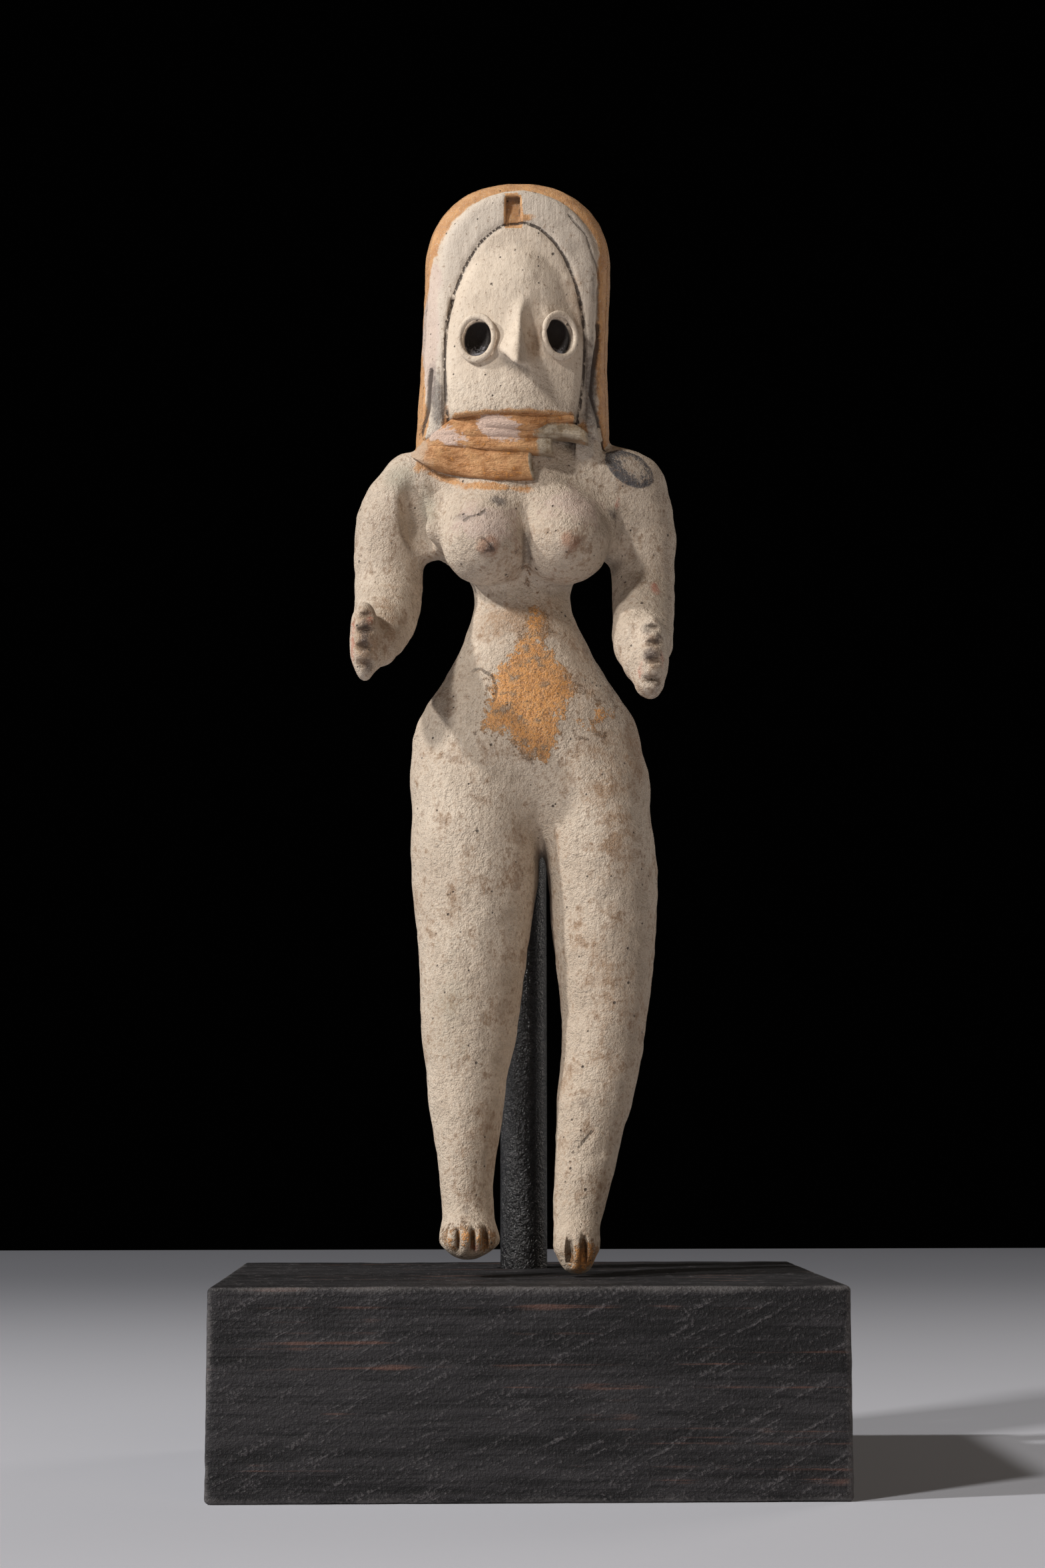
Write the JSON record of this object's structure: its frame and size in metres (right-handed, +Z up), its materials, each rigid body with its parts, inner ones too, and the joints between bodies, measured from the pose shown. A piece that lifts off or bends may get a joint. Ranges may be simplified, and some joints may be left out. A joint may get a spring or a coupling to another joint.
{
  "type": "terracotta goddess idol",
  "caption": "Hand-modelled clay figure of a standing woman with ring eyes, a hood of hair and a neck scarf, held upright by a round rod in a wooden block.",
  "frame": {"origin": "middle of the wooden block's underside, on the surface that it stands on", "axes": "+Z up, the figure looks along -Y, +X to the viewer's right"},
  "size_m": [0.09, 0.066, 0.2015],
  "materials": {
    "clay": "matte, sandy slip with ochre paint",
    "rod_paint": "gritty gloss black",
    "black_wood": "matte black stain over sawn grain"
  },
  "bodies": {
    "root": {"idol": "clay", "mount_rod": "rod_paint", "wood_block": "black_wood"}
  },
  "joints": []
}
